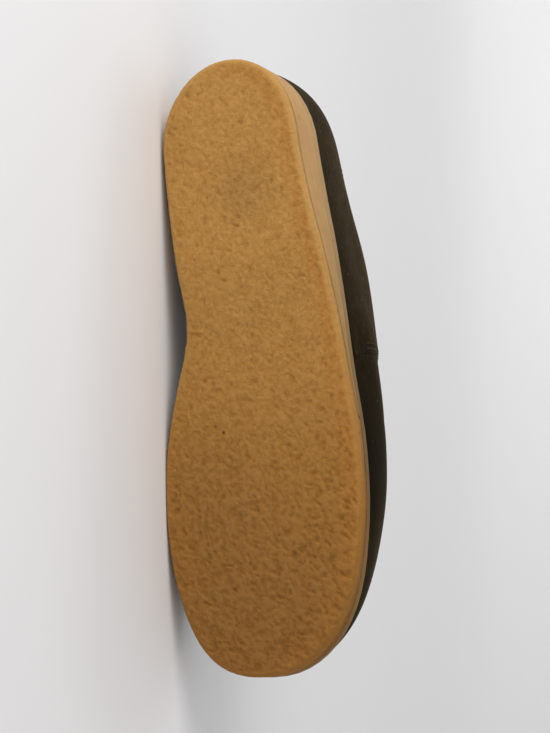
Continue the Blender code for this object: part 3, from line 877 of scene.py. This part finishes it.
def makeLace():
    # share of the way from one eyelet to the next, -1 to 1, and height off the last
    outward = ((-1.0, 1.5), (-0.98, 3.7), (-0.85, 4.5))
    under = ((-1.0, 1.5), (-0.98, -0.5), (-0.86, -1.45))
    upAgain = ((0.86, -1.45), (0.98, -0.5))
    bar = (*outward, (-0.5, 4.4), (0.0, 3.4), (0.5, 4.4), (0.85, 4.5), (0.98, 3.7))
    insideOver = (*under, (-0.6, -1.4), (-0.3, 0.0), (0.0, 1.25), (0.3, 0.0), (0.6, -1.4), *upAgain)
    insideUnder = (*under, (-0.6, -1.5), (0.0, -1.55), (0.6, -1.5), *upAgain)
    intoTop = (*upAgain, (1.0, 2.0))
    outsideOver = (*outward, (-0.62, 4.4), (-0.3, 2.6), (0.0, 1.25), (0.3, -0.4), (0.6, -1.4), *intoTop)
    outsideUnder = (*outward, (-0.62, 4.3), (-0.3, 0.9), (0.0, -1.5), (0.6, -1.5), *intoTop)
    lateral, medial = findEyelets()
    barRidge, lowRidge, highRidge = (findRidge(along) for along in (lace["bar"], *lace["crossings"]))
    path = laceRun(medial[1], highRidge, lateral[2], outsideOver)[::-1]
    path += laceRun(lateral[0], lowRidge, medial[1], insideUnder)[::-1]
    path += laceRun(lateral[0], barRidge, medial[0], bar)[1:]
    path += laceRun(medial[0], lowRidge, lateral[1], insideOver)
    path += laceRun(lateral[1], highRidge, medial[2], outsideUnder)
    route = spread(rounded(np.array(path)), lace["step"])
    curve = bpy.data.curves.new("lace", "CURVE")
    curve.dimensions = "3D"
    curve.bevel_depth = lace["radius"] * 0.001
    curve.bevel_resolution = 4
    curve.use_fill_caps = True
    spline = curve.splines.new("POLY")
    spline.points.add(len(route) - 1)
    for point, spot in zip(spline.points, route):
        point.co = (*(toRow @ Vector(spot)), 1)
    cord = bpy.data.objects.new("lace_cord", curve)
    bpy.context.scene.collection.objects.link(cord)
    only(cord)
    bpy.ops.object.convert(target="MESH")
    cord = bpy.context.object
    cord.data.materials.clear()
    cord.data.materials.append(laceFinish(len(route) * lace["step"]))
    smoothShade(cord, 60)
    settle(cord, "lace", "lace")
    print("lace:", round(len(route) * lace["step"]), "mm,", len(cord.data.polygons), "faces")


def rounded(points):  # smooth curve through the points
    run = np.concatenate([[0], np.cumsum(np.linalg.norm(np.diff(points, axis=0), axis=1) ** 0.5)])
    slopes = np.gradient(points, run, axis=0)
    curve = []
    for i in range(len(points) - 1):
        span = run[i + 1] - run[i]
        for t in np.linspace(0, 1, 12, endpoint=False):
            a, b = (1 + 2 * t) * (1 - t) ** 2, t * (1 - t) ** 2 * span
            c, d = t * t * (3 - 2 * t), t * t * (t - 1) * span
            curve.append(a * points[i] + b * slopes[i] + c * points[i + 1] + d * slopes[i + 1])
    return np.array(curve + [points[-1]])


def laceFinish(length):
    f = Finish("lace cord")
    spot = f.node("ShaderNodeUVMap", {}, {})
    first, second = f.parts(spot)[:2]
    run = 2.4 * length * first
    turn = 4 * math.pi * second
    braid = (run + turn).sine() * (run - turn).sine()
    fibre = f.speckle(f.place(), 0.5, 3.0, 0.6)
    colour = f.mix(fibre.rise(0.35, 0.7), (0.020, 0.014, 0.009), (0.052, 0.038, 0.025))
    colour = f.mix(braid.rise(0.1, 0.9) * 0.5, colour, (0.070, 0.053, 0.035))
    normal = f.bump(braid * 0.7 + fibre * 0.3, 0.0003, 0.8)
    return f.surface(colour, 0.7 + fibre * 0.15, normal, Specular_IOR_Level=0.25)


makeLace()


# stitches along the quarters' edge, the collar and the back seam
def inset(chain, distance, wall):  # a line beside the edge, on the wall's outside
    line = spread(chain, stitch["step"])
    beside = []
    for spot in line:
        out = Vector(spot[3:6]).normalized()
        start = Vector(spot[:3]) + Vector(spot[6:]).normalized() * distance + out * stitch["above"]
        hit = wall.ray_cast(toRow @ start, (toRow.to_3x3() @ -out).normalized(), stitch["reach"])[0]
        if hit is not None:
            beside.append((toBoot @ hit)[:])
    beside = np.array(beside)
    clear = np.linalg.norm(beside[:, None] - line[None, :, :3], axis=2).min(axis=1) > 0.85 * distance
    return beside[clear]


def sew(name, lines, wall):
    bpy.ops.object.select_all(action="DESELECT")
    bpy.ops.mesh.primitive_uv_sphere_add(segments=6, ring_count=5, radius=1)
    single = bpy.context.object
    edit(single)
    bpy.ops.transform.rotate(value=math.pi / 2, orient_axis="Y", center_override=(0, 0, 0))
    half = stitch["length"] / 2
    bpy.ops.transform.resize(value=(half, stitch["thick"], stitch["thick"]), center_override=(0, 0, 0))
    done()
    shape = np.array([v.co[:] for v in single.data.vertices])
    shape[:, 2] -= stitch["thick"] * stitch["dive"] * (shape[:, 0] / half) ** 2
    faces = [tuple(p.vertices) for p in single.data.polygons]
    bpy.data.objects.remove(single)
    points, polygons = [], []
    for line in lines:
        spots = spread(line, stitch["pitch"] * 1000)
        ahead = np.gradient(spots, axis=0)
        for spot, way in zip(spots[1:-1], ahead[1:-1]):
            place, normal = wall.find_nearest(toRow @ Vector(spot))[:2]
            front = (toRow.to_3x3() @ Vector(way)).normalized()
            side = normal.cross(front).normalized()
            turn = np.array((front, side, normal))
            base = len(points) * len(shape)
            points.append(shape @ turn + np.array(place + normal * (stitch["thick"] * stitch["stand"])))
            polygons += [tuple(v + base for v in face) for face in faces]
    mesh = bpy.data.meshes.new(name)
    mesh.from_pydata(np.concatenate(points).tolist(), [], polygons)
    mesh.update()
    thread = bpy.data.objects.new(name, mesh)
    bpy.context.scene.collection.objects.link(thread)
    edit(thread)
    bpy.ops.mesh.normals_make_consistent(inside=False)
    done()
    mesh.materials.append(threadFinish())
    smoothShade(thread, 80)
    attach(thread, "root")
    print(name, len(points), "stitches,", len(mesh.polygons), "faces")


def threadFinish():
    f = Finish("thread")
    place = f.place()
    ply = f.speckle(place, 0.3, 2.0)
    colour = f.mix(ply.rise(0.3, 0.7), (0.028, 0.019, 0.011), (0.082, 0.058, 0.034))
    return f.surface(colour, 0.55 + ply * 0.2, f.bump(ply, 0.0001, 0.5), Specular_IOR_Level=0.15)


def sewUpper():
    wall = BVHTree.FromObject(upper, bpy.context.evaluated_depsgraph_get())
    first, second = stitch["rows"]
    heights = [np.where(quarterEdge[:, 1] * side > 0, quarterEdge[:, 2], -1) for side in (1, -1)]
    corners = sorted(int(np.argmax(side)) for side in heights)
    lines = [inset(quarterEdge, first, wall)]
    lines.append(inset(quarterEdge[:corners[0] + 1], second, wall))
    lines.append(inset(quarterEdge[corners[1]:], second, wall))
    forward = (toRow.to_3x3() @ Vector((1, 0, 0))).normalized()
    for offset in stitch["backRows"]:
        back = []
        for z in np.linspace(*stitch["backHeights"], 40):
            hit = wall.ray_cast(toRow @ Vector((stitch["behind"], offset, z)), forward)[0]
            if hit is not None:
                back.append((toBoot @ hit)[:])
        lines.append(np.array(back))
    sew("stitches", lines, wall)


sewUpper()


# floor and light
studio = {
    "floor": (0.882, 0.88, 0.896),
    "floorSize": 8.0,
    "rise": 5.0,  # the floor's far edge goes up, through a wide bend
    "bend": 2.2,
    # place, aim, size, power, colour
    "key": ((-0.95, -0.72, 0.62), (-0.03, 0, 0.05), (0.8, 0.8), 11.0, (1.0, 0.985, 0.96)),
    "back": ((-1.3, 2.5, 2.4), (-1.3, 3.2, 0.0), (2.4, 2.0), 29.0, (1.0, 0.99, 0.985)),
    "world": {"Color": (1.0, 0.995, 0.985, 1), "Strength": 0.53},
}


def makeFloor():
    bpy.ops.object.select_all(action="DESELECT")
    bpy.ops.mesh.primitive_plane_add(size=studio["floorSize"], location=(0, 0, 0))
    floor = bpy.context.object
    floor.name = "floor"
    bpy.ops.object.mode_set(mode="EDIT")
    bpy.ops.mesh.select_all(action="DESELECT")
    done()
    for edge in floor.data.edges:
        edge.select = all(floor.data.vertices[v].co.y > 0 for v in edge.vertices)
    bpy.ops.object.mode_set(mode="EDIT")
    bpy.ops.mesh.select_mode(type="EDGE")
    bpy.ops.mesh.extrude_region_move(TRANSFORM_OT_translate={"value": (0, 0, studio["rise"])})
    done()
    corner = math.radians(40)
    modify(floor, "BEVEL", width=studio["bend"], segments=24, limit_method="ANGLE", angle_limit=corner)
    smoothShade(floor, 60)
    f = Finish("pale floor")
    place = f.place()
    tone = f.speckle(place, 180.0, 2.0)
    colour = f.mix(tone, studio["floor"], tuple(0.985 * c for c in studio["floor"]))
    normal = f.bump(tone, 0.0002, 0.1)
    floor.data.materials.append(f.surface(colour, 0.7 + tone * 0.05, normal, Specular_IOR_Level=0.2))


def softLight(name, place, aim, size, power, colour):
    data = bpy.data.lights.new(name, "AREA")
    data.shape = "RECTANGLE"
    data.size, data.size_y = size
    data.energy = power
    data.color = colour
    light = bpy.data.objects.new(name, data)
    bpy.context.scene.collection.objects.link(light)
    light.location = place
    light.rotation_euler = (Vector(aim) - Vector(place)).to_track_quat("-Z", "Y").to_euler()


makeFloor()
for name in ("key", "back"):
    softLight(name, *studio[name])
world = bpy.data.worlds.new("studio")
world.use_nodes = True
for key, value in studio["world"].items():
    world.node_tree.nodes["Background"].inputs[key].default_value = value
bpy.context.scene.world = world
bpy.context.scene.view_settings.view_transform = "Standard"
print("floor and light done")
